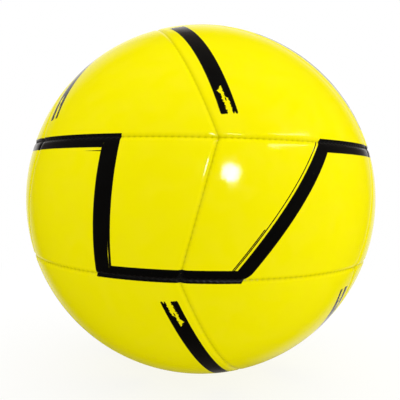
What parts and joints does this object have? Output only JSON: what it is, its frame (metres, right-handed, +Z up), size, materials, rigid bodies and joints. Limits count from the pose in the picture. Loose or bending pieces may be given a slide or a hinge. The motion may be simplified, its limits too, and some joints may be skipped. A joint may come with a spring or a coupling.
{
  "type": "futsal ball",
  "caption": "Stitched futsal ball: glossy panels in a belt between two leaning fans that close on polar panels, over a foam-damped bladder with a needle valve.",
  "frame": {"origin": "centre of the ball", "axes": "+Z up through the valve and the middle of the top panel, square to the belt; -Y is the front, through the middle of a belt seam; +X to the right seen from the front"},
  "size_m": [0.2006, 0.2004, 0.2005],
  "materials": {
    "panel_skin": "glossy fluorescent yellow synthetic leather with plain black printed stripes",
    "seam_thread": "waxed twisted polyester thread",
    "bladder_rubber": "smooth butyl rubber",
    "foam": "open soft foam",
    "valve_rubber": "moulded satin rubber",
    "patch_cloth": "woven cotton tape"
  },
  "bodies": {
    "root": {"belt_panel_1": "panel_skin", "belt_panel_2": "panel_skin", "belt_panel_3": "panel_skin", "belt_panel_4": "panel_skin", "belt_panel_5": "panel_skin", "belt_panel_6": "panel_skin", "upper_panel_1": "panel_skin", "upper_panel_2": "panel_skin", "upper_panel_3": "panel_skin", "upper_panel_4": "panel_skin", "upper_panel_5": "panel_skin", "upper_panel_6": "panel_skin", "lower_panel_1": "panel_skin", "lower_panel_2": "panel_skin", "lower_panel_3": "panel_skin", "lower_panel_4": "panel_skin", "lower_panel_5": "panel_skin", "lower_panel_6": "panel_skin", "top_panel": "panel_skin", "bottom_panel": "panel_skin", "upper_belt_thread": "seam_thread", "lower_belt_thread": "seam_thread", "belt_seam_thread_1": "seam_thread", "belt_seam_thread_2": "seam_thread", "belt_seam_thread_3": "seam_thread", "belt_seam_thread_4": "seam_thread", "belt_seam_thread_5": "seam_thread", "belt_seam_thread_6": "seam_thread", "upper_seam_thread_1": "seam_thread", "upper_seam_thread_2": "seam_thread", "upper_seam_thread_3": "seam_thread", "upper_seam_thread_4": "seam_thread", "upper_seam_thread_5": "seam_thread", "upper_seam_thread_6": "seam_thread", "lower_seam_thread_1": "seam_thread", "lower_seam_thread_2": "seam_thread", "lower_seam_thread_3": "seam_thread", "lower_seam_thread_4": "seam_thread", "lower_seam_thread_5": "seam_thread", "lower_seam_thread_6": "seam_thread", "bladder": "bladder_rubber", "damping_foam": "foam", "valve_housing": "valve_rubber", "valve_core": "valve_rubber", "valve_patch": "patch_cloth"}
  },
  "joints": []
}
